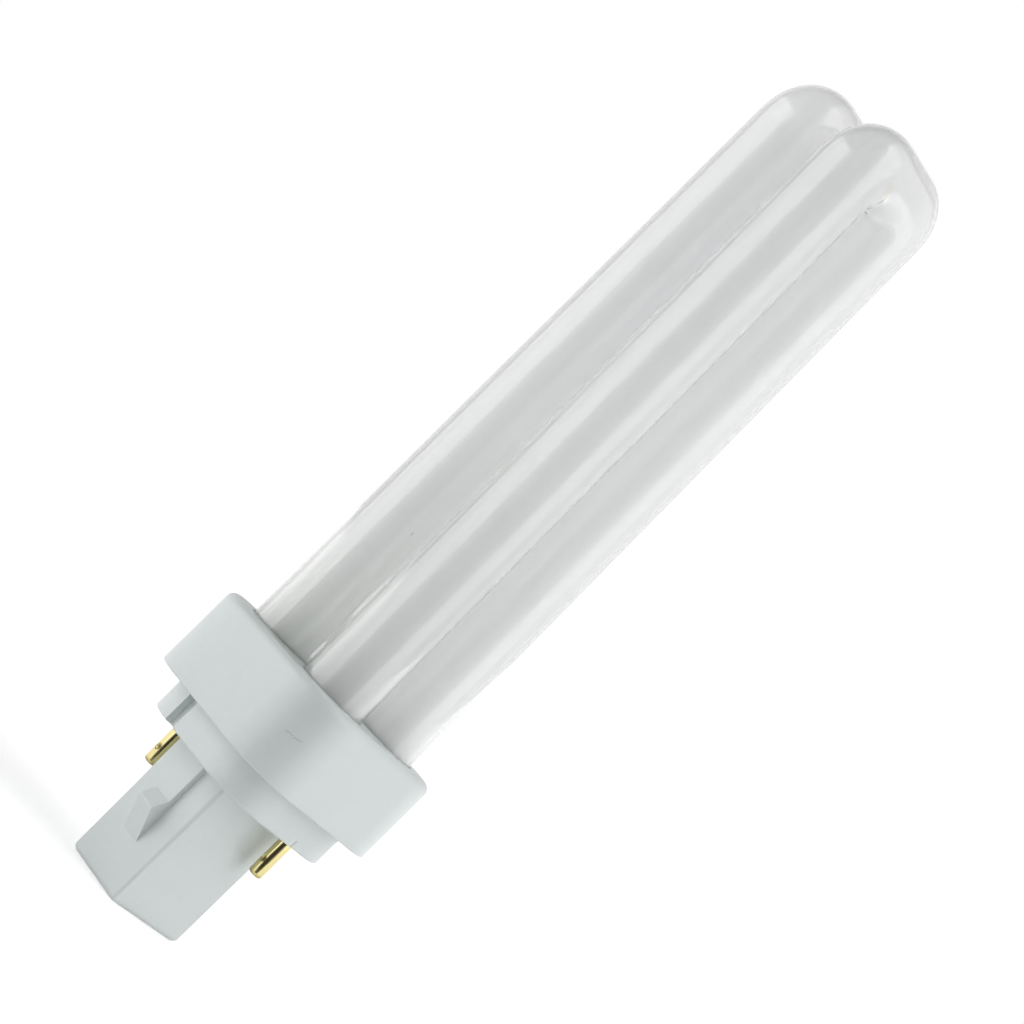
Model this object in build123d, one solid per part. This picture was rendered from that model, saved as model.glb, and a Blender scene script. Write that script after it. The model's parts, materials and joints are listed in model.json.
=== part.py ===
from build123d import *
import math
import os

# Plug-in compact fluorescent lamp with two pins. Millimetres.
# The origin is the centre of the collar's underside, where the lamp seats; +Z runs up the tubes.
# Each bend lies in a plane parallel to XZ, and the front one has the lower y.

# Glass tube
tube_d = 12.0
leg_spacing = 15.4  # centre to centre, within a bend
bend_spacing = 16.4  # from bend to bend
limb_height = 123.4  # collar top to the outside of the bends
bend_left_corner_r = 10.3  # outer corners of the pressed, squared bend
bend_right_corner_r = 7.9
bend_step = 15.0  # degrees between the sections of a bend
bend_run = 4.5  # straight glass pressed together with the bend
bend_run_steps = 3  # sections along that run
front_lean = 1.15  # degrees, front bend towards the rear one
rear_lean = 0.4  # degrees, rear bend away from the front one
bridge_d = 6.0
bridge_rise = 7.0  # collar top to the axis of the bridge
leg_end_r = 4.0  # melted edge of a leg's closed end
pinch_w = 6.0
pinch_t = 2.6
pinch_length = 3.5
pinch_edge_r = 0.85
pinch_gap = 0.6  # from the plug's flange

# Collar, square with rounded corners
collar_w = 36.6
collar_corner_r = 9.3
collar_h = 15.2
collar_wall = 1.6
collar_top = 2.2
collar_edge_r = 1.4
collar_rim_r = 0.3
leg_clearance = 0.3
cement_depth = 5.0
cement_clearance = 0.1

# Plug and its flange in the collar, square with rounded corners too
plug_w = 30.1
plug_corner_r = 8.9
plug_h = 5.9
plug_wall = 2.6
plug_floor = 2.2
plug_edge_r = 0.4
flange_h = 2.4
flange_step = 0.4  # shoulder in the collar that the flange meets
flange_clearance = 0.15
key_w = 2.45
key_depth = 1.5
key_offset = 4.9  # from the middle of the plug's latch side

# Post below the plug
post_w = 17.7  # along X, between the latches
post_t = 14.8
post_h = 24.6
post_wall = 1.6
post_floor = 1.8
post_corner_r = 0.7
post_edge_r = 1.0
post_draft = 0.5  # degrees

# Latch on each narrow side of the post
latch_w = 4.2
latch_rib = 1.0  # how far the rib stands out
latch_nose = 2.8  # how far the nose stands out
latch_rib_length = 8.2
latch_rise = 2.3
latch_lead_in = 5.7
latch_nose_r = 0.4

# Contact pins
pin_d = 2.45
pin_length = 7.6
pin_x = 6.4
pin_inset = 4.65  # from the plug's side to the axis of a pin
pin_shank_d = 1.9  # set into the plug's floor, up to the pin's shoulder
pin_tail = 2.0  # shank above the plug's floor
pin_bore = 1.1
pin_tip = 1.0  # solid end
pin_tip_r = 0.55
pin_clearance = 0.05
crimp_from_tip = 3.0
crimp_r = 0.9
crimp_depth = 0.3

# Starter in the post, and the wires
starter_clearance = 0.3
bottle_d = 8.0
bottle_h = 16.0
bottle_end_r = 1.5
capacitor_t = 3.4
capacitor_w = 7.5
capacitor_h = 11.0
capacitor_edge_r = 0.8
wire_d = 0.5
wire_gap = 2.4  # between the two wires of a seal, and of the starter
wire_bend_r = 0.8
wire_lift = 1.2  # run of a wire above the pin's tail
joint_drop = 5.0  # soldered joints of the capacitor, below the plug's floor
joint_clearance = 0.1  # where a wire is soldered or sealed in

# Sizes that follow
tube_r = tube_d / 2
leg_x = leg_spacing / 2
leg_y = bend_spacing / 2
tip_z = collar_h + limb_height
bend_half = leg_x + tube_r
bend_inner_r = leg_x - tube_r
pivot_z = tip_z - bend_half
bore_w = collar_w - 2 * collar_wall
bore_corner_r = collar_corner_r - collar_wall
seat_w = bore_w + 2 * flange_step
seat_corner_r = bore_corner_r + flange_step
flange_w = seat_w - 2 * flange_clearance
flange_corner_r = seat_corner_r - flange_clearance
cement_w = bore_w - 2 * cement_clearance
cement_corner_r = bore_corner_r - cement_clearance
pinch_end_z = flange_h + pinch_gap
leg_end_z = pinch_end_z + pinch_length
cavity_w = plug_w - 2 * plug_wall
cavity_corner_r = plug_corner_r - plug_wall
plug_floor_z = plug_floor - plug_h
post_end_z = -plug_h - post_h
post_floor_z = post_end_z + post_floor
chamber_w = post_w - 2 * post_wall
chamber_t = post_t - 2 * post_wall
pin_y = plug_w / 2 - pin_inset
pin_r = pin_d / 2
pin_shank_r = pin_shank_d / 2
pin_tip_z = -plug_h - pin_length
pin_tail_z = plug_floor_z + pin_tail
bottle_x = bottle_d / 2 + starter_clearance - chamber_w / 2
bottle_z = post_floor_z + starter_clearance
bottle_top_z = bottle_z + bottle_h
capacitor_x = chamber_w / 2 - starter_clearance - capacitor_t / 2
capacitor_top_z = bottle_z + capacitor_h
wire_side = wire_gap / 2
wire_start_z = pinch_end_z - joint_clearance
wire_run_z = pin_tail_z + wire_lift
joint_z = plug_floor_z - joint_drop

ON_BASE = (Align.CENTER, Align.CENTER, Align.MIN)


def upright(radius, low_z, high_z, x=0.0, y=0.0):
    """Round bar between two heights."""
    return Pos(x, y, low_z) * Cylinder(radius, high_z - low_z, align=ON_BASE)


def squared(width, corner_r, low_z, high_z):
    """Square bar with rounded corners between two heights."""
    return Pos(0, 0, low_z) * extrude(RectangleRounded(width, width, corner_r), amount=high_z - low_z)


def leaned(shape, lean):
    """Turn a shape about the X axis at the height of the collar's top."""
    return Pos(0, 0, collar_h) * Rot(lean, 0, 0) * Pos(0, 0, -collar_h) * shape


def bend_reach(angle, corner_r):
    """Distance from the pivot to the outside of the squared bend, in the direction of angle."""
    across = abs(math.cos(math.radians(angle)))
    rise = math.sin(math.radians(angle))
    corner = bend_half - corner_r
    if across > 0 and bend_half * rise / across <= corner:
        return bend_half / across
    if rise > 0 and bend_half * across / rise <= corner:
        return bend_half / rise
    along = corner * (across + rise)
    return along + math.sqrt(along**2 - 2 * corner**2 + corner_r**2)


def bend_section(angle, corner_r):
    """Oval cut through the bend by a plane that turns about the pivot."""
    outward = Vector(-math.cos(math.radians(angle)), 0, math.sin(math.radians(angle)))
    travel = Vector(math.sin(math.radians(angle)), 0, math.cos(math.radians(angle)))
    reach = bend_reach(angle, corner_r)
    middle = Vector(0, 0, pivot_z) + outward * ((reach + bend_inner_r) / 2)
    half_depth = max(tube_r, (reach - bend_inner_r) / 2)
    return Plane(middle, x_dir=outward, z_dir=travel) * Ellipse(half_depth, tube_r)


def elbow(corner_r):
    """Left half of a pressed bend, lofted from a short straight run on the leg to the middle."""
    steps = round(90 / bend_step)
    fan = [bend_section(90 * step / steps, corner_r) for step in range(steps + 1)]
    stride = bend_run / bend_run_steps
    below = [Pos(0, 0, -stride * step) * fan[0] for step in range(bend_run_steps, 0, -1)]
    beyond = [Pos(stride * step, 0, 0) * fan[-1] for step in range(1, bend_run_steps)]
    return split(loft([*below, *fan, *beyond]), bisect_by=Plane.YZ, keep=Keep.BOTTOM)


def bend():
    """Pressed U bend: an elbow over the left leg, and a squarer one turned over for the right leg."""
    return elbow(bend_left_corner_r) + mirror(elbow(bend_right_corner_r), about=Plane.YZ)


def pinch_seal(x):
    """Flattened end of a leg that holds an electrode."""
    seal = Box(pinch_t, pinch_w, pinch_length + leg_end_r, align=ON_BASE)
    seal = fillet(seal.edges().filter_by(Axis.Z), pinch_edge_r)
    return Pos(x, 0, pinch_end_z) * seal


def limb_pair(lean):
    """One U: two legs with closed ends, their bend, and the seal on the left leg."""
    pair = bend() + pinch_seal(-leg_x)
    for x in (-leg_x, leg_x):
        leg = upright(tube_r, leg_end_z, pivot_z - bend_run, x)
        pair += fillet(leg.edges().group_by(Axis.Z)[0], leg_end_r)
    return leaned(pair, lean)


def limb_holes(clearance, low_z, high_z):
    """Four bars, a clearance larger than the legs and leaning with them."""
    holes = []
    for y, lean in ((-leg_y, -front_lean), (leg_y, -rear_lean)):
        for x in (-leg_x, leg_x):
            holes.append(Pos(0, y, 0) * leaned(upright(tube_r + clearance, low_z, high_z, x), lean))
    return holes


def discharge_tube():
    """Sealed glass vessel: two U bends and the bridge between their right legs."""
    front = Pos(0, -leg_y, 0) * limb_pair(-front_lean)
    rear = Pos(0, leg_y, 0) * limb_pair(-rear_lean)
    bridge = Cylinder(bridge_d / 2, bend_spacing, rotation=(90, 0, 0))
    return front + rear + Pos(leg_x, 0, collar_h + bridge_rise) * bridge


def collar_shell():
    """Cup open below, with a rounded top edge and four holes for the legs."""
    shell = squared(collar_w, collar_corner_r, 0, collar_h)
    shell = fillet(shell.edges().group_by(Axis.Z)[-1], collar_edge_r)
    shell = fillet(shell.edges().group_by(Axis.Z)[0], collar_rim_r)
    shell -= squared(bore_w, bore_corner_r, 0, collar_h - collar_top)
    shell -= squared(seat_w, seat_corner_r, 0, flange_h)
    return shell - limb_holes(leg_clearance, 0, collar_h + collar_top)


def tube_cement():
    """Cement under the collar's top, cast round the four legs."""
    top_z = collar_h - collar_top
    cement = squared(cement_w, cement_corner_r, top_z - cement_depth, top_z)
    return cement - limb_holes(cement_clearance, 0, collar_h)


def latch(side):
    """Rib and nose on one narrow side of the post; side is the way it faces along X."""
    face_x = post_w / 2
    rib_z = -plug_h - latch_rib_length
    nose_z = rib_z - latch_rise
    foot_z = nose_z - latch_lead_in
    foot_x = face_x + (foot_z + plug_h) * math.tan(math.radians(post_draft))
    root_x = face_x - post_wall / 2
    outline = Polyline(
        (root_x, -plug_h),
        (face_x + latch_rib, -plug_h),
        (face_x + latch_rib, rib_z),
        (face_x + latch_nose, nose_z),
        (foot_x, foot_z),
        (root_x, foot_z),
        close=True,
    )
    rib = extrude(Plane.XZ * make_face(outline), amount=latch_w / 2, both=True)
    rib = fillet(rib.edges().filter_by(Axis.Y).sort_by(Axis.X)[-1], latch_nose_r)
    return Rot(0, 0, 0 if side > 0 else 180) * rib


def post():
    """Tapered rectangular post with rounded edges, solid."""
    body = extrude(RectangleRounded(post_w, post_t, post_corner_r), amount=post_h, taper=post_draft)
    body = fillet(body.edges().group_by(Axis.Z)[-1], post_edge_r)
    return Pos(0, 0, -plug_h) * Rot(180, 0, 0) * body


def key_groove(side):
    """Cutter for a key groove down one latch side of the plug."""
    cutter = Pos(plug_w / 2, -key_offset, -plug_h / 2) * Box(2 * key_depth, key_w, plug_h)
    return Rot(0, 0, 0 if side > 0 else 180) * cutter


def plug_body():
    """Plug, flange, post and latches in one moulding, hollow from above."""
    plug = squared(plug_w, plug_corner_r, -plug_h, 0)
    plug = fillet(plug.edges().group_by(Axis.Z)[0], plug_edge_r)
    body = plug + squared(flange_w, flange_corner_r, 0, flange_h) + post() + latch(-1) + latch(1)
    body -= squared(cavity_w, cavity_corner_r, plug_floor_z, flange_h)
    body -= Pos(0, 0, post_floor_z) * Box(chamber_w, chamber_t, post_h + plug_h, align=ON_BASE)
    for side in (-1, 1):
        body -= key_groove(side)
    for x, y in ((-pin_x, pin_y), (pin_x, -pin_y)):
        body -= upright(pin_shank_r + pin_clearance, -plug_h, plug_floor_z, x, y)
    return body


def contact_pin(x, y):
    """Hollow pin with a rounded tip, a shank, and a crimp pressed in from both sides."""
    pin = upright(pin_r, pin_tip_z, -plug_h)
    pin = fillet(pin.edges().group_by(Axis.Z)[0], pin_tip_r)
    pin += upright(pin_shank_r, -plug_h, pin_tail_z)
    pin -= upright(pin_bore / 2, pin_tip_z + pin_tip, pin_tail_z)
    for side in (-1, 1):
        reach = pin_r + crimp_r - crimp_depth
        pin -= Pos(side * reach, 0, pin_tip_z + crimp_from_tip) * Sphere(crimp_r)
    return Pos(x, y, 0) * pin


def wire(*points):
    """Round wire through the points, with its corners bent to one radius."""
    path = FilletPolyline(*points, radius=wire_bend_r)
    return sweep((path ^ 0) * Circle(wire_d / 2), path=path)


def pin_lead(leg_side, x, y):
    """Wire from a seal to a pin, down into the pin's bore."""
    start_y = leg_side * (leg_y + wire_side)
    return wire(
        (-leg_x, start_y, wire_start_z),
        (-leg_x, start_y, wire_run_z),
        (x, y, wire_run_z),
        (x, y, pin_tip_z + crimp_from_tip),
    )


def starter_lead(leg_side):
    """Wire from a seal to the starter bottle."""
    start_y = leg_side * (leg_y - wire_side)
    return wire(
        (-leg_x, start_y, wire_start_z),
        (-leg_x, start_y, wire_run_z),
        (bottle_x, leg_side * wire_side, wire_run_z),
        (bottle_x, leg_side * wire_side, bottle_top_z),
    )


def starter_bottle():
    """Glow bottle standing in the post."""
    bottle = upright(bottle_d / 2, bottle_z, bottle_top_z, bottle_x)
    return fillet(bottle.edges().group_by(Axis.Z)[0], bottle_end_r)


def starter_capacitor():
    """Moulded capacitor beside the bottle, its wires led over to the starter's."""
    body = Box(capacitor_t, capacitor_w, capacitor_h, align=ON_BASE)
    body = Pos(capacitor_x, 0, bottle_z) * fillet(body.edges(), capacitor_edge_r)
    for side in (-1, 1):
        y = side * wire_side
        body += wire(
            (capacitor_x, y, capacitor_top_z - capacitor_edge_r),
            (capacitor_x, y, joint_z),
            (bottle_x + wire_d / 2 + joint_clearance, y, joint_z),
        )
    return body


parts = {
    "discharge_tube": discharge_tube(),
    "collar_shell": collar_shell(),
    "tube_cement": tube_cement(),
    "plug_body": plug_body(),
    "contact_pin_left": contact_pin(-pin_x, pin_y),
    "contact_pin_right": contact_pin(pin_x, -pin_y),
    "left_pin_lead": pin_lead(1, -pin_x, pin_y),
    "right_pin_lead": pin_lead(-1, pin_x, -pin_y),
    "left_starter_lead": starter_lead(1),
    "right_starter_lead": starter_lead(-1),
    "starter_bottle": starter_bottle(),
    "starter_capacitor": starter_capacitor(),
}

os.makedirs("parts", exist_ok=True)
for name, shape in parts.items():
    export_step(shape, f"parts/{name}.step")
    print(name, "volume", round(shape.volume, 1), "valid", shape.is_valid)
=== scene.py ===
# %% [markdown]
# # A plug-in lamp with two glass bends
# Four limbs of coated glass stand in a square collar with rounded corners. Under the collar are a plug with
# key grooves, a post with latch ribs, and two brass pins. The solids come in as they were drawn, each at its
# own place. This lesson makes the glass again as a smooth mesh, gives every piece its finish, and sets up a
# table, soft boxes and a camera.

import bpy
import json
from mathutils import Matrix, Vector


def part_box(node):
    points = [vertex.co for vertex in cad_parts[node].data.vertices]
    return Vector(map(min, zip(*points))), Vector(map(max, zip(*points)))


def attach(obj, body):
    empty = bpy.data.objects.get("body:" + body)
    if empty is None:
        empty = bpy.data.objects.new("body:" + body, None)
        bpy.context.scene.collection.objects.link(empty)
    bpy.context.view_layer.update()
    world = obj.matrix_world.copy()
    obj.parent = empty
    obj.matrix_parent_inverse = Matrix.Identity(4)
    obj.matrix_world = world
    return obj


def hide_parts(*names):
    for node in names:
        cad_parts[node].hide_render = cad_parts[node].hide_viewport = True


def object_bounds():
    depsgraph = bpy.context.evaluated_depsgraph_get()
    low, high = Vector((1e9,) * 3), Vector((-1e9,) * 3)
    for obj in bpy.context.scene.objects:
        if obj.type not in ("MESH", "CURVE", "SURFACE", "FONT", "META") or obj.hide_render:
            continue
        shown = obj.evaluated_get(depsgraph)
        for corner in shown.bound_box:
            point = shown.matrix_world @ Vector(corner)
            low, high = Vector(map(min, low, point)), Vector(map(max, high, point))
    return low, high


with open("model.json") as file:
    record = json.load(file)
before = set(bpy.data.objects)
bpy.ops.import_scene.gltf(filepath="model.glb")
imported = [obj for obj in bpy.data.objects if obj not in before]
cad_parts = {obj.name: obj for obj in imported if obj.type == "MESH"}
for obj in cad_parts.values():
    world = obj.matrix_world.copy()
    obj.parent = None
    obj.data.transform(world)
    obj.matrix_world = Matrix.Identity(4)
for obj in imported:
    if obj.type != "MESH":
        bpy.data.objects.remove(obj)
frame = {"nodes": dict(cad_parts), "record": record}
cad_low, cad_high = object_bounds()
MM = 0.001  # in metres


def in_mm(*lengths):
    """Lengths to print, in millimetres to one place."""
    return [round(length / MM, 1) for length in lengths]


print("pieces:", ", ".join(sorted(frame["nodes"])))
print("box in mm:", in_mm(*(cad_high - cad_low)))

# %% [markdown]
# ## Camera
# The picture was taken nearly level with the lamp, from a corner of its post. So the camera's place is
# two angles round the lamp and a distance. The soft boxes further down stand at angles round the lamp too,
# and use the same function.

# %% Camera place
import math

import bpy
from mathutils import Matrix, Vector

CAMERA_AIM = Vector((0.0, 0.0, 0.0547))
CAMERA_DISTANCE = 0.42876
CAMERA_AZIMUTH = math.radians(-46.90)
CAMERA_ELEVATION = math.radians(-1.62)


def direction(azimuth, elevation):
    """Unit vector from the lamp; azimuth 0 is towards -Y, and it grows towards +X."""
    level = math.cos(elevation)
    return Vector((math.sin(azimuth) * level, -math.cos(azimuth) * level, math.sin(elevation)))


camera_place = CAMERA_AIM + direction(CAMERA_AZIMUTH, CAMERA_ELEVATION) * CAMERA_DISTANCE
print("camera at, in mm:", in_mm(*camera_place))

# %% [markdown]
# ### Lens and roll
# The lamp leans 45 degrees to the right in the picture. We could turn the lamp, but its frame has to stay
# upright, so the camera rolls instead. The lens is long, because the collar's far side looks hardly smaller
# than its near side.

# %% Camera
PICTURE_WIDTH = 1024  # pixels
FOCAL_LENGTH = 2733  # pixels
SENSOR_WIDTH = 36.0  # mm
NEAREST_SEEN = 0.01
LAMP_LEAN = math.radians(45.447)


def rolled_view(place, target, roll):
    """Matrix of a camera that looks from place to target and rolls, so that the scene leans right."""
    back = (place - target).normalized()
    right = Vector((0, 0, 1)).cross(back).normalized()
    up = back.cross(right)
    across = right * math.cos(roll) + up * math.sin(roll)
    upward = up * math.cos(roll) - right * math.sin(roll)
    return Matrix.Translation(place) @ Matrix((across, upward, back)).transposed().to_4x4()


camera = bpy.data.objects.new("camera", bpy.data.cameras.new("camera"))
camera.data.sensor_width = SENSOR_WIDTH
camera.data.lens = SENSOR_WIDTH * FOCAL_LENGTH / PICTURE_WIDTH
camera.data.clip_start = NEAREST_SEEN
camera.matrix_world = rolled_view(camera_place, CAMERA_AIM, LAMP_LEAN)
bpy.context.scene.collection.objects.link(camera)
bpy.context.scene.camera = camera
bpy.context.scene.view_settings.view_transform = "Standard"
print("lens in mm:", round(camera.data.lens, 1))

# %% [markdown]
# ## Helpers for shader nodes
# Every finish below is a tree of nodes. Adding a node by hand takes a line for each setting, so one helper
# adds it, sets its options, and sets or links its inputs by their names. The inputs of some nodes share a
# name, so a second helper fills them by their order, and sums of numbers and vectors are built on it.

# %% Node helpers


def feed(tree, socket, value):
    """Link another node's output to a socket, or set the socket to a plain value."""
    if isinstance(value, bpy.types.NodeSocket):
        tree.links.new(value, socket)
    else:
        socket.default_value = value


def add(tree, kind, options=None, **inputs):
    """Add a node; an input's name has _ for a space."""
    node = tree.nodes.new("ShaderNode" + kind)
    for name, value in (options or {}).items():
        setattr(node, name, value)
    for name, value in inputs.items():
        feed(tree, node.inputs[name.replace("_", " ")], value)
    return node


def add_in_order(tree, kind, options, *values):
    """Add a node, fill its inputs in their order, and give its outputs."""
    node = add(tree, kind, options)
    for socket, value in zip(node.inputs, values):
        feed(tree, socket, value)
    return node.outputs


def maths(tree, operation, *values):
    """Result of a maths node."""
    return add_in_order(tree, "Math", {"operation": operation}, *values)["Value"]


def vectors(tree, operation, *values):
    """Result of a vector maths node, a number where the operation measures something."""
    measures = operation in ("DOT_PRODUCT", "DISTANCE", "LENGTH")
    outputs = add_in_order(tree, "VectorMath", {"operation": operation}, *values)
    return outputs["Value" if measures else "Vector"]


print("node helpers:", ", ".join(helper.__name__ for helper in (feed, add, add_in_order, maths, vectors)))

# %% [markdown]
# ### From one range to another
# Heights, distances and tones each have a range of their own, and a colour mask or a roughness needs another
# one. A Map Range node does that and stops at both ends, so that nothing runs past the new range.

# %% Range helper


def rescaled(tree, value, old, new, easing="LINEAR"):
    """Value brought from the range old to the range new, each a first and a last value."""
    node = add(
        tree, "MapRange", {"interpolation_type": easing}, Value=value,
        From_Min=old[0], From_Max=old[1], To_Min=new[0], To_Max=new[1],
    )
    return node.outputs[0]


print("range helper:", rescaled.__name__)

# %% [markdown]
# ## The room
# The lamp is pictured on a white table in front of white paper, in a dim room. Real walls would do, but a
# world needs none: only the direction of a ray counts. How far the ray points away from the camera tells
# whether it meets the paper or the room, and a soft edge between the two keeps a hard line off the glass.

# %% Room light
WHITE = (1, 1, 1, 1)
PAPER_HALF_ANGLE = math.radians(53)
PAPER_EDGE = 0.15

world = bpy.data.worlds.new("white_room")
bpy.context.scene.world = world
world.use_nodes = True
room = world.node_tree
room.nodes.clear()
behind = -direction(CAMERA_AZIMUTH, 0.0)
facing = vectors(room, "DOT_PRODUCT", add(room, "TexCoord").outputs["Generated"], behind)
paper_limit = math.cos(PAPER_HALF_ANGLE)


def room_light(front_level, paper_level):
    """White of one level in front and of another where the paper is."""
    edge = (paper_limit - PAPER_EDGE, paper_limit + PAPER_EDGE)
    level = rescaled(room, facing, edge, (front_level, paper_level))
    return add(room, "Background", Color=WHITE, Strength=level).outputs[0]


print("paper within degrees of straight back:", round(math.degrees(PAPER_HALF_ANGLE)))

# %% [markdown]
# ### What each ray sees
# In front of the lamp a matte surface gets a low, even light, but the gloss sees a nearly dark room, which
# draws a dark line down a shiny pin. The gloss also sees the paper a little darker than the eye does, so that
# the edge of a limb stands out from the white behind it. One level for everything would lose both lines.
# So the Light Path node chooses: one light for matte surfaces, one for the gloss, and plain white for the
# camera and for rays that pass through glass.

# %% World
EVEN_LIGHT = 0.20
ROOM_LEVEL = 0.05
PAPER_LEVEL = 1.0
PAPER_IN_GLOSS = 0.78

rays = add(room, "LightPath").outputs
even = room_light(EVEN_LIGHT, PAPER_LEVEL)
in_gloss = room_light(ROOM_LEVEL, PAPER_IN_GLOSS)
seen = add(room, "Background", Color=WHITE, Strength=PAPER_LEVEL).outputs[0]
seen_rays = maths(room, "MAXIMUM", rays["Is Camera Ray"], rays["Is Transmission Ray"])
lit = add_in_order(room, "MixShader", None, rays["Is Glossy Ray"], even, in_gloss)[0]
surroundings = add_in_order(room, "MixShader", None, seen_rays, lit, seen)[0]
add(room, "OutputWorld", Surface=surroundings)
print("world: even light", EVEN_LIGHT, "and a room of", ROOM_LEVEL, "in front")

# %% [markdown]
# ## Table
# The lamp stands on its post, on a white table that returns light from below and keeps the lamp's shadow. A
# flat sheet is enough for it. It ends just in front of the lamp, out of the picture, as a table does where
# the photographer stands: a pin then mirrors white on both its sides and the dim room in its middle.

# %% Table
import bmesh

TABLE_HALF = 3.0
TABLE_FRONT = 0.13  # from the lamp's axis towards the camera


def piece_from(bm, name):
    """Turn a bmesh into an object in the scene."""
    mesh = bpy.data.meshes.new(name)
    bm.to_mesh(mesh)
    bm.free()
    piece = bpy.data.objects.new(name, mesh)
    bpy.context.scene.collection.objects.link(piece)
    return piece


table_bm = bmesh.new()
bmesh.ops.create_grid(table_bm, x_segments=1, y_segments=1, size=TABLE_HALF)
square_on = Matrix.Rotation(CAMERA_AZIMUTH, 3, "Z")
bmesh.ops.rotate(table_bm, verts=table_bm.verts, cent=(0, 0, 0), matrix=square_on)
table_shift = behind * (TABLE_HALF - TABLE_FRONT) + Vector((0, 0, cad_low.z))
bmesh.ops.translate(table_bm, verts=table_bm.verts, vec=table_shift)
table = piece_from(table_bm, "table")
print("table at z in mm:", in_mm(cad_low.z))

# %% [markdown]
# ### Table paint
# Matte white under soft light comes out grey, and a line would show where the table meets the paper. So to
# the eye and in the gloss the table is lifted towards white by a little light of its own, which falls on
# nothing else. The lift is least near the lamp, because a table that is white already has no shadow to show.

# %% Table paint
TABLE_COLOUR = (0.86, 0.86, 0.86, 1)
TABLE_LIFT = 0.94  # far from the lamp
LIFT_DROP = 0.52  # less of it near the lamp
LIFT_REACH = 0.35


def new_material(name):
    """Material with an empty tree."""
    material = bpy.data.materials.new(name)
    material.use_nodes = True
    material.node_tree.nodes.clear()
    return material, material.node_tree


def table_paint():
    """Matte white that is lifted for the eye."""
    material, tree = new_material("table_paint")
    rays = add(tree, "LightPath").outputs
    seen_rays = maths(tree, "MAXIMUM", rays["Is Camera Ray"], rays["Is Transmission Ray"])
    seen_rays = maths(tree, "MAXIMUM", seen_rays, rays["Is Glossy Ray"])
    from_lamp = vectors(tree, "LENGTH", add(tree, "TexCoord").outputs["Object"])
    reach = maths(tree, "POWER", maths(tree, "DIVIDE", from_lamp, LIFT_REACH), 2.0)
    drop = maths(tree, "DIVIDE", LIFT_DROP, maths(tree, "ADD", reach, 1.0))
    level = maths(tree, "SUBTRACT", TABLE_LIFT, drop)
    lift = add(tree, "Emission", Strength=maths(tree, "MULTIPLY", seen_rays, level)).outputs[0]
    matte = add(tree, "BsdfDiffuse", Color=TABLE_COLOUR).outputs[0]
    add(tree, "OutputMaterial", Surface=add_in_order(tree, "AddShader", None, matte, lift)[0])
    return material


table.data.materials.append(table_paint())
print("table finish:", table.data.materials[0].name)

# %% [markdown]
# ## Soft boxes
# Two tall soft boxes, one on each side, draw the pale bands down each glass limb and light the two flat
# faces of the collar, so that its corner between them stays darker. They stand close, so that the feet
# of the limbs mirror them too and not the table. Each box has a dimmer wing towards the paper, which
# carries the band to the edge of the limb, and a dim panel towards the camera, which softens the band's
# inner edge. The right ones are taller, and one more panel stands behind them, so the bend is pale there
# up to its top. The panels are there for the gloss alone, so they put no light on matte surfaces.

# %% Soft boxes
BOX_DISTANCE = 0.4
BOX_FOOT = -35  # degrees below the camera's aim
LEFT_TOP = 36  # degrees above the camera's aim
RIGHT_TOP = 78
SOFT_BOXES = {  # degrees round the lamp from the camera, top, level, on matte surfaces too
    "left_panel": ((-41, -25), LEFT_TOP, 0.55, False),
    "left_box": ((-84, -41), LEFT_TOP, 1.95, True),
    "left_wing": ((-113, -84), LEFT_TOP, 1.3, True),
    "right_panel": ((26, 45), RIGHT_TOP, 0.45, False),
    "right_box": ((45, 84), RIGHT_TOP, 1.85, True),
    "right_wing": ((84, 124), RIGHT_TOP, 1.0, True),
    "right_back": ((124, 150), RIGHT_TOP, 0.3, False),
}


def soft_box(name, sides, top, level, on_matte):
    """Flat light that fills a range of directions round the lamp, up to the angle of top."""
    first, last = (math.radians(angle) for angle in sides)
    low, high = (BOX_DISTANCE * math.tan(math.radians(angle)) for angle in (BOX_FOOT, top))
    away = direction(CAMERA_AZIMUTH + (first + last) / 2, 0.0)
    lamp = bpy.data.lights.new(name, "AREA")
    lamp.shape = "RECTANGLE"
    lamp.size = 2 * BOX_DISTANCE * math.tan((last - first) / 2)
    lamp.size_y = high - low
    lamp.energy = level * math.pi * lamp.size * lamp.size_y  # so that it looks as bright as level
    box = bpy.data.objects.new(name, lamp)
    box.location = CAMERA_AIM + away * BOX_DISTANCE + Vector((0, 0, (low + high) / 2))
    box.rotation_mode = "QUATERNION"
    box.rotation_quaternion = away.to_track_quat("Z", "Y")
    box.visible_camera = False
    box.visible_diffuse = on_matte
    bpy.context.scene.collection.objects.link(box)
    return box


for name, (sides, top, level, on_matte) in SOFT_BOXES.items():
    box = soft_box(name, sides, top, level, on_matte)
    print(name, "is", round(box.data.size, 2), "by", round(box.data.size_y, 2), "m")

# %% [markdown]
# ## Glass limbs
# Each bend is one glass tube, heated, folded and pressed in a mould. The solid has its shape, but it comes in
# as flat triangles, and a gloss shows every one of them. So the tube is made again: a ring starts at the
# closed end of one leg and is extruded from section to section, up the leg, through the bend and down the
# other leg. Each section is a matrix that lays a unit circle in place, so a step of the sweep is one
# extrusion and one transform.

# %% Section of a limb
TUBE_RADIUS = 6.0 * MM
LEG_OFFSET = 7.7 * MM  # from the middle of a bend to a leg
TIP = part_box("discharge_tube")[1].z
BEND_HALF = LEG_OFFSET + TUBE_RADIUS
BEND_INSIDE = LEG_OFFSET - TUBE_RADIUS
PIVOT = TIP - BEND_HALF


def section(middle, outward, depth, width):
    """Matrix that lays a unit circle round middle, depth along outward and width along Y."""
    side = Vector((0, 1, 0))
    axes = Matrix((outward * depth, side * width, outward.cross(side)))
    return Matrix.Translation(middle) @ axes.transposed().to_4x4()


print("a bend turns about z in mm:", in_mm(PIVOT))

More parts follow.
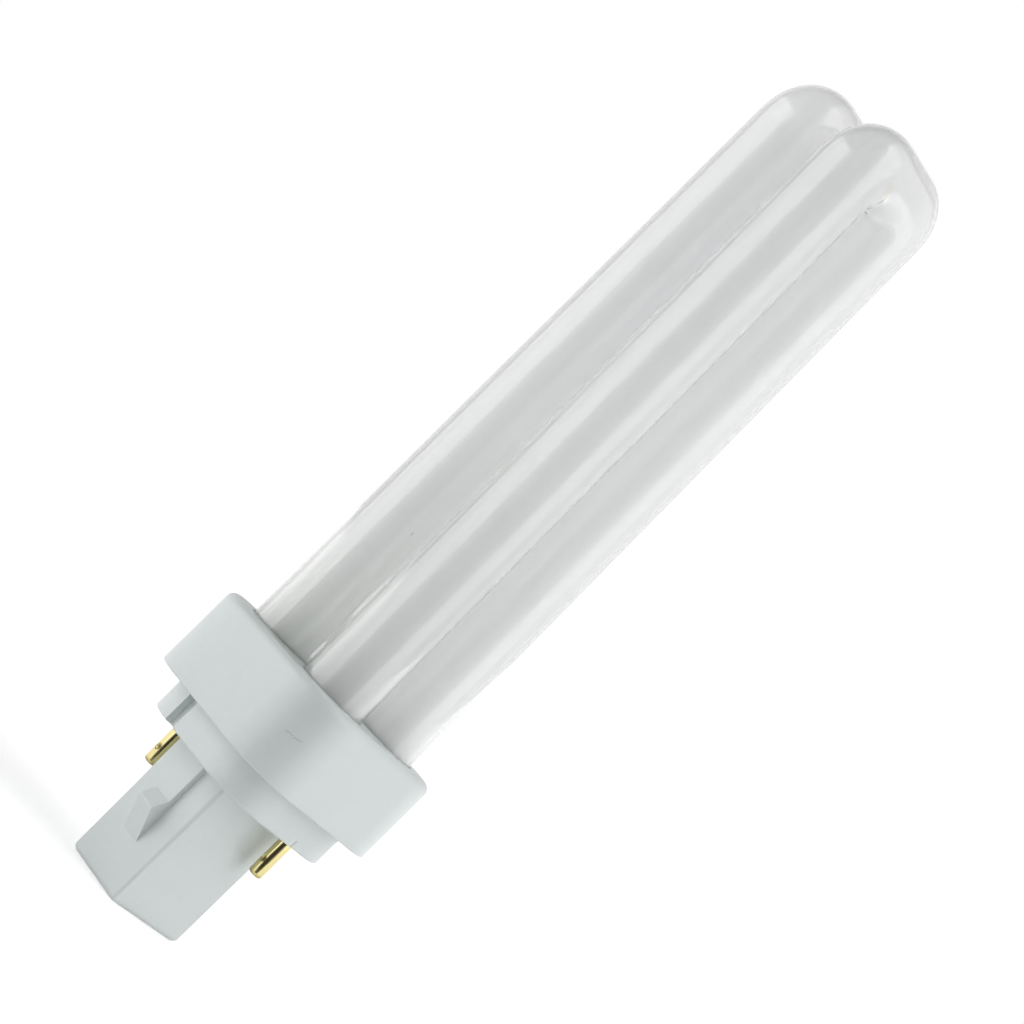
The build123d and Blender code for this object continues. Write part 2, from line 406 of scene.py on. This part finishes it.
# %% [markdown]
# ### Through the bend
# The mould leaves corners that are squarer than a bent pipe's, the right one more so, and the section swells
# to an oval there. So the sections turn about one pivot, and each reaches from the inside of the bend to
# a squared outside: a side, a rounded corner, the flat top, the other corner and the other side.

# %% Bend sections
LEFT_CORNER = 10.3 * MM
RIGHT_CORNER = 7.9 * MM  # squarer than the left one
BEND_STEPS = 36


def bend_reach(angle):
    """From the bend's pivot to its squared outside, in the direction of angle."""
    across, rise = abs(math.cos(angle)), math.sin(angle)
    radius = LEFT_CORNER if angle < math.pi / 2 else RIGHT_CORNER
    corner = BEND_HALF - radius
    if BEND_HALF * rise <= corner * across:
        return BEND_HALF / across
    if BEND_HALF * across <= corner * rise:
        return BEND_HALF / rise
    along = corner * (across + rise)
    return along + math.sqrt(along**2 - 2 * corner**2 + radius**2)


def bend_sections():
    """Ovals that turn about the pivot from the left leg to the right one."""
    ovals = []
    for step in range(BEND_STEPS + 1):
        angle = math.pi * step / BEND_STEPS
        outward = Vector((-math.cos(angle), 0, math.sin(angle)))
        reach = bend_reach(angle)
        middle = Vector((0, 0, PIVOT)) + outward * ((reach + BEND_INSIDE) / 2)
        depth = max(TUBE_RADIUS, (reach - BEND_INSIDE) / 2)
        ovals.append(section(middle, outward, depth, TUBE_RADIUS))
    return ovals


print("a bend has", len(bend_sections()), "sections")

# %% [markdown]
# ### Up and down the legs
# A leg is a round tube that was melted shut at its foot, so its sections are circles that grow along a
# quarter of a round and then stay the same. They are close together on the straight run too, because long
# thin faces shade badly.

# %% Leg sections
LEG_END = 6.5 * MM
LEG_END_RADIUS = 4.0 * MM
LEG_END_STEPS = 8
LEG_STEP = 3.0 * MM


def leg_sections(side):
    """Circles from the rounded, closed end of a leg up to the bend; side is -1 or 1."""
    sizes = []
    for step in range(LEG_END_STEPS):
        angle = math.pi / 2 * step / LEG_END_STEPS
        height = LEG_END + LEG_END_RADIUS * (1 - math.cos(angle))
        sizes.append((height, TUBE_RADIUS - LEG_END_RADIUS * (1 - math.sin(angle))))
    straight = LEG_END + LEG_END_RADIUS
    steps = round((PIVOT - straight) / LEG_STEP)
    for step in range(steps):
        sizes.append((straight + (PIVOT - straight) * step / steps, TUBE_RADIUS))
    outward = Vector((side, 0, 0))
    return [section(Vector((side * LEG_OFFSET, 0, z)), outward, radius, radius) for z, radius in sizes]


limb_sections = leg_sections(-1) + bend_sections() + leg_sections(1)[::-1]
print("a limb pair has", len(limb_sections), "sections")

# %% [markdown]
# ### Sweep and lean
# A curve with a bevel could draw the tube, but its section can't swell on one side alone, so the ring is
# extruded. Both bends lean a little, as the picture shows, so each sweep is turned about the collar's top
# before it goes to its side of the axis.

# %% Swept tube
TUBE_SEGMENTS = 128
BEND_OFFSET = 8.2 * MM  # from the lamp's axis to a bend
COLLAR_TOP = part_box("collar_shell")[1].z


def sweep(sections):
    """Tube through the sections, closed at both ends."""
    bm = bmesh.new()
    bmesh.ops.create_circle(bm, cap_ends=True, segments=TUBE_SEGMENTS, radius=1.0, matrix=sections[0])
    rim = bm.edges[:]
    for before, after in zip(sections, sections[1:]):
        grown = bmesh.ops.extrude_edge_only(bm, edges=rim)["geom"]
        rim = [item for item in grown if isinstance(item, bmesh.types.BMEdge)]
        points = [item for item in grown if isinstance(item, bmesh.types.BMVert)]
        bmesh.ops.transform(bm, verts=points, matrix=after @ before.inverted())
    bmesh.ops.edgeloop_fill(bm, edges=rim)
    bmesh.ops.recalc_face_normals(bm, faces=bm.faces)
    return bm


def set_limb(bm, side, lean):
    """Lean a bend's mesh and put it on its side of the axis; side is -1 or 1."""
    turn = Matrix.Rotation(-lean, 3, "X")
    bmesh.ops.rotate(bm, verts=bm.verts, cent=(0, 0, COLLAR_TOP), matrix=turn)
    bmesh.ops.translate(bm, verts=bm.verts, vec=(0, side * BEND_OFFSET, 0))
    return bm


print("a ring has", TUBE_SEGMENTS, "corners, and limbs lean about z in mm:", in_mm(COLLAR_TOP))

# %% [markdown]
# ### Seals and bridge
# Two of the legs end in pinch seals, which were squeezed flat round the wires: a block with rounded edges. A
# short bridge joins the other two legs near the collar. The glass was blown together there, so the bridge
# flares where it meets a leg, and it is one more sweep, of circles that widen towards both ends.

# %% Seals and bridge
SEAL_SIZE = Vector((2.6, 6.0, 7.5)) * MM
SEAL_EDGE = 0.85 * MM
SEAL_EDGE_STEPS = 4
SEAL_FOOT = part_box("discharge_tube")[0].z
BRIDGE_RADIUS = 3.0 * MM
BRIDGE_RISE = 7.0 * MM
BRIDGE_FLARE = 0.9 * MM
BRIDGE_STEPS = 24


def pinch_seal():
    """Flattened end of a left leg, rounded along its edges."""
    bm = bmesh.new()
    bmesh.ops.create_cube(bm, size=1.0)
    bmesh.ops.scale(bm, verts=bm.verts, vec=SEAL_SIZE)
    bmesh.ops.bevel(
        bm, geom=bm.edges[:], offset=SEAL_EDGE, affect="EDGES", segments=SEAL_EDGE_STEPS, profile=0.5,
        material=-1,
    )
    bmesh.ops.translate(bm, verts=bm.verts, vec=(-LEG_OFFSET, 0, SEAL_FOOT + SEAL_SIZE.z / 2))
    return bm


def bridge():
    """Short tube between the right legs, flared towards both."""
    sections = []
    for step in range(BRIDGE_STEPS + 1):
        place = 2 * step / BRIDGE_STEPS - 1
        radius = BRIDGE_RADIUS + BRIDGE_FLARE * place**2
        middle = Vector((LEG_OFFSET, place * BEND_OFFSET, COLLAR_TOP + BRIDGE_RISE))
        axes = Matrix(((radius, 0, 0), (0, 0, radius), (0, -1, 0))).transposed()
        sections.append(Matrix.Translation(middle) @ axes.to_4x4())
    return sweep(sections)


print("length of a seal and thickness of the bridge in mm:", in_mm(SEAL_SIZE.z, 2 * BRIDGE_RADIUS))

# %% [markdown]
# ### One closed skin
# The real glass is one vessel, so the bends, the seals and the bridge have to become one mesh. Left as they
# are, their inner walls would cross and soak up light. A Boolean union of all five cuts those walls away.

# %% Glass
FRONT_LEAN = math.radians(1.15)
REAR_LEAN = math.radians(0.4)


def united(name, pieces):
    """One closed mesh from pieces that overlap; the pieces themselves are taken away."""
    base = pieces[0]
    for other in pieces[1:]:
        union = base.modifiers.new(other.name, "BOOLEAN")
        union.operation = "UNION"
        union.solver = "EXACT"
        union.object = other
    depsgraph = bpy.context.evaluated_depsgraph_get()
    mesh = bpy.data.meshes.new_from_object(base.evaluated_get(depsgraph))
    for piece in pieces:
        bpy.data.objects.remove(piece)
    mesh.name = name
    mesh.shade_smooth()
    whole = bpy.data.objects.new(name, mesh)
    bpy.context.scene.collection.objects.link(whole)
    return whole


glass_pieces = []
for side, lean, label in ((-1, FRONT_LEAN, "front"), (1, REAR_LEAN, "rear")):
    glass_pieces.append(piece_from(set_limb(sweep(limb_sections), side, lean), label + "_bend"))
    glass_pieces.append(piece_from(set_limb(pinch_seal(), side, lean), label + "_seal"))
glass_pieces.append(piece_from(bridge(), "bridge"))
glass = united("glass_limbs", glass_pieces)
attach(glass, "root")
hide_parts("discharge_tube")
print("glass limbs:", len(glass.data.polygons), "faces")

# %% [markdown]
# ## Effects that several finishes share
# A moulding is never one even colour: its tone drifts a little and its skin has a fine grain. That comes back
# in every finish, so it is a node group, built once and placed with its own values. A group reads the
# place on the piece that the material hands it, and puts out only tones, masks and heights.

# %% Drift group
CLOUD_DETAIL = 4.0
CLOUD_ROUGHNESS = 0.6
GRAIN_DETAIL = 2.0
NOISE_MIDDLE = 0.5  # what a noise swings about


def new_group(name, inputs, outputs):
    """Empty node group, with the sockets of its input and output nodes."""
    group = bpy.data.node_groups.new(name, "ShaderNodeTree")
    for socket, kind in inputs.items():
        group.interface.new_socket(socket, in_out="INPUT", socket_type="NodeSocket" + kind)
    for socket, kind in outputs.items():
        group.interface.new_socket(socket, in_out="OUTPUT", socket_type="NodeSocket" + kind)
    return group, group.nodes.new("NodeGroupInput").outputs, group.nodes.new("NodeGroupOutput").inputs


def drift_group():
    """Tone that drifts about 1 over a distance, and a fine grain."""
    group, given, put = new_group(
        "drift", {"Place": "Vector", "Amount": "Float", "Scale": "Float", "Grain": "Float"},
        {"Tone": "Float", "Height": "Float"},
    )
    clouds = add(
        group, "TexNoise", Vector=given["Place"], Scale=given["Scale"],
        Detail=CLOUD_DETAIL, Roughness=CLOUD_ROUGHNESS,
    )
    off_middle = maths(group, "SUBTRACT", clouds.outputs[0], NOISE_MIDDLE)
    swing = maths(group, "MULTIPLY", off_middle, given["Amount"])
    feed(group, put["Tone"], maths(group, "ADD", swing, 1.0))
    grain = add(group, "TexNoise", Vector=given["Place"], Scale=given["Grain"], Detail=GRAIN_DETAIL)
    feed(group, put["Height"], grain.outputs[0])
    return group


drift = drift_group()
print("node group:", drift.name)

# %% [markdown]
# ### Marks
# A scratch, a crease or a fleck sits at one place on a piece. An image could hold it, but a stroke from one
# point to another is enough: the group finds the nearest point of the stroke and fades with the distance
# from it.

# %% Mark group
NO_LENGTH = 1e-12  # keeps a fleck, whose stroke has no length, from a division by zero


def mark_group():
    """Mask of a soft stroke from start to end; a fleck has both at one place."""
    group, given, put = new_group(
        "mark", {"Place": "Vector", "Start": "Vector", "End": "Vector", "Width": "Float"}, {"Mask": "Float"}
    )
    stroke = vectors(group, "SUBTRACT", given["End"], given["Start"])
    from_start = vectors(group, "SUBTRACT", given["Place"], given["Start"])
    length_squared = maths(group, "MAXIMUM", vectors(group, "DOT_PRODUCT", stroke, stroke), NO_LENGTH)
    share = maths(group, "DIVIDE", vectors(group, "DOT_PRODUCT", from_start, stroke), length_squared)
    share = maths(group, "MINIMUM", maths(group, "MAXIMUM", share, 0.0), 1.0)
    nearest = add(group, "VectorMath", {"operation": "SCALE"}, Vector=stroke, Scale=share)
    distance = vectors(group, "DISTANCE", from_start, nearest.outputs["Vector"])
    feed(group, put["Mask"], rescaled(group, distance, (0.0, given["Width"]), (1.0, 0.0), "SMOOTHSTEP"))
    return group


mark = mark_group()
print("node group:", mark.name)

# %% [markdown]
# ### Colours and skins
# A finish starts from one colour. Masks tint it, tones make it lighter and darker, and marks go on top. The
# fine relief is a Bump node, because a grain of a hundredth of a millimetre needs no mesh.

# %% Colour helpers
MIX_FIRST, MIX_SECOND, MIX_RESULT = 6, 7, 2  # a Mix node's sockets for colours


def place_group(tree, group, **inputs):
    """Group node with its inputs set, as its outputs."""
    return add(tree, "Group", {"node_tree": group}, **inputs).outputs


def mixed(tree, blend, mask, first, second):
    """Two colours, blended by a mask."""
    mix = add(tree, "Mix", {"data_type": "RGBA", "blend_type": blend}, Factor=mask)
    feed(tree, mix.inputs[MIX_FIRST], first)
    feed(tree, mix.inputs[MIX_SECOND], second)
    return mix.outputs[MIX_RESULT]


def tinted(tree, colour, mask, tint):
    """Colour that goes over to another one by a mask."""
    return mixed(tree, "MIX", mask, colour, tint)


def toned(tree, colour, *tones):
    """Colour times one tone or several."""
    for tone in tones:
        colour = mixed(tree, "MULTIPLY", 1.0, colour, tone)
    return colour


def marked(tree, colour, place, marks):
    """Colour with marks on it, each a start, an end, a width and a tint."""
    for start, end, width, tint in marks:
        mask = place_group(tree, mark, Place=place, Start=start, End=end, Width=width)["Mask"]
        colour = tinted(tree, colour, mask, tint)
    return colour


def rough_skin(tree, height, depth):
    """Normal of a skin with fine relief of a depth in metres."""
    return add(tree, "Bump", Height=height, Strength=1.0, Distance=depth).outputs["Normal"]


print("colour helpers:", ", ".join(helper.__name__ for helper in (tinted, toned, marked, rough_skin)))

# %% [markdown]
# ## Coated glass
# The limbs are clear glass with white powder on the inside. Near the collar the foot of a limb is painted
# darker and a little green, as painted shade where the collar and the other limbs keep light off. The left
# limb gets most of it and the right one least. On the inner sides, where the limbs light each other, the
# powder is painted paler as painted bounce light. Both are masks on the place: one falls with the height and
# across the lamp, the other with the distance from the lamp's axis.

# %% Where the painted shade and bounce light go
FOOT_HEIGHT = 48 * MM
FOOT_CURVE = 0.7
FOOT_SHARE = 0.2  # on the right limb; the left one has all of it
INNER_REACH = (8.8 * MM, 12.0 * MM)  # from the lamp's axis, all of it and none of it


def foot_shade_mask(tree, axes):
    """Painted shade: most at the foot of the left limb, none up the limbs."""
    rise = rescaled(tree, axes["Z"], (COLLAR_TOP, COLLAR_TOP + FOOT_HEIGHT), (1.0, 0.0))
    leftward = maths(tree, "SUBTRACT", axes["Y"], axes["X"])
    limb_reach = LEG_OFFSET + BEND_OFFSET
    share = rescaled(tree, leftward, (-limb_reach, limb_reach), (FOOT_SHARE, 1.0))
    return maths(tree, "MULTIPLY", maths(tree, "POWER", rise, FOOT_CURVE), share)


def bounce_light_mask(tree, axes):
    """Painted bounce light: paler near the lamp's axis."""
    level = add(tree, "CombineXYZ", X=axes["X"], Y=axes["Y"]).outputs[0]
    return rescaled(tree, vectors(tree, "LENGTH", level), INNER_REACH, (1.0, 0.0))


# the painted shade at the feet reaches up to this height
print("thin powder up to z in mm:", in_mm(COLLAR_TOP + FOOT_HEIGHT))

# %% [markdown]
# ### Marks on the glass
# Inside the front bend a yellowish tint and two dark creases are painted shade, and the left limb has a small
# fleck. Their places were read off the picture and put on the glass in millimetres.

# %% Marks on the glass
# painted shade inside the front bend: two dark creases and a wider yellowish tint
CREASE_PAINTED_SHADE = (0.34, 0.35, 0.29, 1)
CREASE_SHADE_TINT = (0.74, 0.77, 0.58, 1)
FLECK_DARK = (0.55, 0.57, 0.55, 1)


def spot(*millimetres):
    """Place on the lamp in metres."""
    return Vector(millimetres) * MM


GLASS_MARKS = (
    (spot(-4.7, -11.8, 130.7), spot(-4.2, -11.6, 129.6), 2.0 * MM, CREASE_SHADE_TINT),
    (spot(-3.5, -11.2, 129.6), spot(-2.9, -10.8, 127.9), 0.55 * MM, CREASE_PAINTED_SHADE),
    (spot(0.3, -7.2, 127.3), spot(0.6, -7.0, 126.2), 0.5 * MM, CREASE_PAINTED_SHADE),
    (spot(-9.5, 2.65, 41.3), spot(-9.5, 2.65, 41.0), 0.3 * MM, FLECK_DARK),
)
print("marks on the glass:", len(GLASS_MARKS))

# %% [markdown]
# ### The glass finish
# Clear glass over a powder could be two surfaces, but refraction makes the powder fill the glass to its very
# edge. So the finish is a white colour under one sharp gloss, and light soaks through it from limb to limb,
# which subsurface scattering gives. The powder ran down the limb when it was washed in, and that leaves
# faint streaks, a noise that is drawn out along Z. The gloss stands out more at the foot, and smudges dull
# it a little.

# %% Coated glass
POWDER_WHITE = (0.865, 0.91, 0.92, 1)
# painted bounce light on the inner sides of the limbs, where they face each other
PAINTED_BOUNCE_WHITE = (0.97, 0.98, 0.985, 1)
# painted shade at the foot of the limbs, a little green
PAINTED_FOOT_SHADE = (0.555, 0.60, 0.545, 1)
STREAK_STRETCH = (1, 1, 0.03)  # a small scale draws the noise out
STREAKS = {"Amount": 0.05, "Scale": 600.0, "Grain": 60.0}
STREAK_DEPTH = 0.001 * MM
POWDER = {"Amount": 0.035, "Scale": 2200.0, "Grain": 4000.0}
SMUDGE_TONES = (0.98, 1.02)
SMUDGE_ROUGHNESS = (0.04, 0.07)
GLASS_COAT = (0.8, 1.0)  # up the limb and at its foot
COAT_ROUGHNESS = 0.03
GLASS_IOR = 1.5
SOAK_LENGTH = 0.10  # how far light spreads in the powder


def coated_glass():
    """White powder behind clear glass."""
    material, tree = new_material("coated_glass")
    place = add(tree, "TexCoord").outputs["Object"]
    axes = add(tree, "SeparateXYZ", Vector=place).outputs
    foot = foot_shade_mask(tree, axes)
    drawn_out = add(tree, "Mapping", Vector=place, Scale=STREAK_STRETCH).outputs[0]
    streaks = place_group(tree, drift, Place=drawn_out, **STREAKS)
    powder = place_group(tree, drift, Place=place, **POWDER)
    # painted bounce light on the inner sides
    colour = tinted(tree, POWDER_WHITE, bounce_light_mask(tree, axes), PAINTED_BOUNCE_WHITE)
    # painted shade at the foot of each limb, with a green cast
    colour = tinted(tree, colour, foot, PAINTED_FOOT_SHADE)
    colour = toned(tree, colour, streaks["Tone"], powder["Tone"])
    surface = add(
        tree, "BsdfPrincipled", Base_Color=marked(tree, colour, place, GLASS_MARKS), IOR=GLASS_IOR,
        Roughness=rescaled(tree, powder["Tone"], SMUDGE_TONES, SMUDGE_ROUGHNESS),
        Coat_Weight=rescaled(tree, foot, (0.0, 1.0), GLASS_COAT),
        Coat_Roughness=COAT_ROUGHNESS, Coat_IOR=GLASS_IOR,
        Subsurface_Weight=1.0, Subsurface_Radius=(1, 1, 1), Subsurface_Scale=SOAK_LENGTH,
        Normal=rough_skin(tree, streaks["Height"], STREAK_DEPTH),
    )
    add(tree, "OutputMaterial", Surface=surface.outputs[0])
    return material


glass_finish = coated_glass()
glass.data.materials.append(glass_finish)
print("glass finish:", glass_finish.name)

# %% [markdown]
# ## White plastic
# Collar and plug are two mouldings of one white plastic with a satin skin. A base colour alone looks like
# paint, so the tone drifts over wide and narrow patches, a fine grain breaks up the gloss, and the gloss
# itself varies with the drift. The marks differ, so each moulding has its own.

# %% White plastic
PLASTIC_WHITE = (0.70, 0.75, 0.745, 1)
PLASTIC_IOR = 1.6
WIDE_PATCHES = {"Amount": 0.06, "Scale": 160.0, "Grain": 2600.0}
NARROW_PATCHES = {"Amount": 0.05, "Scale": 1100.0, "Grain": 7000.0}
SATIN_TONES = (0.97, 1.03)
SATIN_ROUGHNESS = (0.30, 0.38)
PLASTIC_GRAIN = 0.008 * MM


def white_plastic(name, marks):
    """Satin moulding with marks."""
    material, tree = new_material(name)
    place = add(tree, "TexCoord").outputs["Object"]
    wide = place_group(tree, drift, Place=place, **WIDE_PATCHES)
    narrow = place_group(tree, drift, Place=place, **NARROW_PATCHES)
    colour = toned(tree, PLASTIC_WHITE, wide["Tone"], narrow["Tone"])
    surface = add(
        tree, "BsdfPrincipled", Base_Color=marked(tree, colour, place, marks), IOR=PLASTIC_IOR,
        Roughness=rescaled(tree, wide["Tone"], SATIN_TONES, SATIN_ROUGHNESS),
        Normal=rough_skin(tree, wide["Height"], PLASTIC_GRAIN),
    )
    add(tree, "OutputMaterial", Surface=surface.outputs[0])
    return material


print("plastic colour:", PLASTIC_WHITE[:3])

# %% [markdown]
# ### Marks on collar and plug
# The collar has a thin scratch on its front corner, two strokes that each bend once. Beside the right pin the
# plug has a pale painted highlight with a dark line next to it, and a thin line of painted contact shade
# round the foot of its post, which is a stroke from corner to corner.

# %% Marks on collar and plug
SCRATCH_DARK = (0.50, 0.54, 0.54, 1)
# a pale painted highlight beside the right pin, with a dark line next to it
PAINTED_HIGHLIGHT_BY_PIN = (0.80, 0.82, 0.78, 1)
DARK_LINE_BY_PIN = (0.38, 0.41, 0.41, 1)
# painted contact shade along the bottom edges of the post
PAINTED_CONTACT_SHADE = (0.46, 0.50, 0.51, 1)
CONTACT_SHADE_WIDTH = 0.40 * MM
POST_FOOT = ((-8.6, -7.15), (8.6, -7.15), (8.6, 7.15), (-8.6, 7.15))  # mm
POST_FOOT_HEIGHT = -30.45  # mm

foot_corners = [spot(x, y, POST_FOOT_HEIGHT) for x, y in POST_FOOT]
foot_edges = zip(foot_corners, foot_corners[1:] + foot_corners[:1])
collar_plastic = white_plastic("collar_plastic", (
    (spot(-16.35, -14.7, 7.40), spot(-16.0, -15.1, 7.62), 0.15 * MM, SCRATCH_DARK),
    (spot(-16.0, -15.1, 7.62), spot(-15.5, -15.65, 7.60), 0.13 * MM, SCRATCH_DARK),
    (spot(-15.3, -15.85, 7.58), spot(-14.7, -16.35, 7.72), 0.15 * MM, SCRATCH_DARK),
    (spot(-14.7, -16.35, 7.72), spot(-14.2, -16.7, 7.90), 0.12 * MM, SCRATCH_DARK),
))
plug_plastic = white_plastic("plug_plastic", (
    (spot(1.95, -15.05, -4.6), spot(2.3, -15.05, -5.8), 0.30 * MM, PAINTED_HIGHLIGHT_BY_PIN),
    (spot(2.7, -15.05, -4.5), spot(2.55, -15.05, -5.7), 0.22 * MM, DARK_LINE_BY_PIN),
    *((start, end, CONTACT_SHADE_WIDTH, PAINTED_CONTACT_SHADE) for start, end in foot_edges),
))
print("plastics:", collar_plastic.name, plug_plastic.name)

# %% [markdown]
# ## Brass
# A pin is drawn from brass sheet, so fine lines run along it, and it has tarnished a little in patches. The
# lines are a noise that is drawn out along the pin. They go to the bump and the colour, and the patches
# go to the colour and the roughness. The tip has darkened from being pushed into its holder, and the dents of
# the crimp are painted dark as painted shade in their hollows, so both get a dark tint.

# %% Brass
BRASS = (0.72, 0.63, 0.31, 1)
BRASS_TARNISH = (0.52, 0.43, 0.17, 1)
BRASS_WORN = (0.30, 0.24, 0.10, 1)
# painted shade in the dents of the crimp
CRIMP_PAINTED_SHADE = (0.10, 0.07, 0.02, 1)
CRIMP_WIDTH = 0.8 * MM
CRIMP_HEIGHT = -10.5  # mm
CRIMP_PLACES = ((-7.4, 10.4), (-5.4, 10.4), (5.4, -10.4), (7.4, -10.4))  # mm
PIN_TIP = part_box("contact_pin_left")[0].z
WORN_LENGTH = 0.8 * MM
WORN_SHARE = 0.9
DRAWN_STRETCH = (1, 1, 0.05)
DRAWN_LINES = {"Amount": 0.1, "Scale": 2500.0, "Grain": 6000.0}
DRAWN_DEPTH = 0.001 * MM
PATCHES = {"Amount": 1.0, "Scale": 700.0, "Grain": 3000.0}
TARNISH_TONES = (1.0, 1.3)
TARNISH_SHARES = (0.0, 0.25)
DULL_TONES = (0.8, 1.3)
DULL_ROUGHNESS = (0.04, 0.09)


def pin_brass():
    """Drawn brass with a little tarnish."""
    material, tree = new_material("pin_brass")
    place = add(tree, "TexCoord").outputs["Object"]
    height = add(tree, "SeparateXYZ", Vector=place).outputs["Z"]
    drawn_out = add(tree, "Mapping", Vector=place, Scale=DRAWN_STRETCH).outputs[0]
    lines = place_group(tree, drift, Place=drawn_out, **DRAWN_LINES)
    patches = place_group(tree, drift, Place=place, **PATCHES)
    tarnish = rescaled(tree, patches["Tone"], TARNISH_TONES, TARNISH_SHARES)
    worn = rescaled(tree, height, (PIN_TIP, PIN_TIP + WORN_LENGTH), (WORN_SHARE, 0.0))
    colour = toned(tree, tinted(tree, BRASS, tarnish, BRASS_TARNISH), lines["Tone"])
    colour = tinted(tree, colour, worn, BRASS_WORN)
    crimps = [spot(x, y, CRIMP_HEIGHT) for x, y in CRIMP_PLACES]
    colour = marked(tree, colour, place, [(crimp, crimp, CRIMP_WIDTH, CRIMP_PAINTED_SHADE) for crimp in crimps])
    surface = add(
        tree, "BsdfPrincipled", Base_Color=colour, Metallic=1.0,
        Roughness=rescaled(tree, patches["Tone"], DULL_TONES, DULL_ROUGHNESS),
        Normal=rough_skin(tree, lines["Height"], DRAWN_DEPTH),
    )
    add(tree, "OutputMaterial", Surface=surface.outputs[0])
    return material


brass = pin_brass()
print("metal:", brass.name)

# %% [markdown]
# ## Inside the base
# Nothing in here shows while the lamp is whole, but the pieces are there, so each gets the finish that it
# has on a bench: chalky cement round the limbs, tinned wires, a clear glass starter bottle, and a
# capacitor dipped in brown resin. They are all a colour that drifts and a skin with relief, so one function
# makes them, and only the numbers differ.

# %% Inner finishes
CEMENT_GREY = (0.83, 0.81, 0.76, 1)
WIRE_TIN = (0.72, 0.72, 0.73, 1)
STARTER_CLEAR = (0.90, 0.93, 0.93, 1)
RESIN_BROWN = (0.55, 0.30, 0.12, 1)


def inner_finish(name, colour, skin, depth, **shader):
    """Finish with a drifting skin and its depth; shader sets the rest of the surface."""
    material, tree = new_material(name)
    place = add(tree, "TexCoord").outputs["Object"]
    drifting = place_group(tree, drift, Place=place, **skin)
    surface = add(
        tree, "BsdfPrincipled", Base_Color=toned(tree, colour, drifting["Tone"]),
        Normal=rough_skin(tree, drifting["Height"], depth), **shader,
    )
    add(tree, "OutputMaterial", Surface=surface.outputs[0])
    return material


cement = inner_finish(
    "cement", CEMENT_GREY, {"Amount": 0.25, "Scale": 500.0, "Grain": 1800.0}, depth=0.08 * MM,
    Roughness=0.9,
)
lead_wire = inner_finish(
    "lead_wire", WIRE_TIN, {"Amount": 0.15, "Scale": 900.0, "Grain": 4000.0}, depth=0.006 * MM,
    Roughness=0.28, Metallic=1.0,
)
starter_glass = inner_finish(
    "starter_glass", STARTER_CLEAR, {"Amount": 0.04, "Scale": 300.0, "Grain": 250.0}, depth=0.02 * MM,
    Roughness=0.04, Transmission_Weight=0.9, IOR=GLASS_IOR,
)
capacitor_case = inner_finish(
    "capacitor_case", RESIN_BROWN, {"Amount": 0.2, "Scale": 400.0, "Grain": 900.0}, depth=0.03 * MM,
    Roughness=0.22,
)
print("inside:", cement.name, lead_wire.name, starter_glass.name, capacitor_case.name)

# %% [markdown]
# ## Dress the solids
# Each solid keeps its mesh and takes its finish. The record names a slot of finish for every solid, so the
# finishes are looked up by that name, and a solid with no finish would stop the lesson here.

# %% Dress the solids
finish_of_slot = {
    "coated_glass": glass_finish,
    "collar_plastic": collar_plastic,
    "plug_plastic": plug_plastic,
    "pin_brass": brass,
    "cement": cement,
    "lead_wire": lead_wire,
    "starter_glass": starter_glass,
    "capacitor_case": capacitor_case,
}
for row in frame["record"]["subparts"]:
    piece = frame["nodes"][row["node"]]
    piece.data.materials.clear()
    piece.data.materials.append(finish_of_slot[row["material_slot"]])
    print(row["node"], "has", row["material_slot"])

# %% [markdown]
# ## Sizes
# The finish must not change the lamp's size.

# %% Sizes
import json
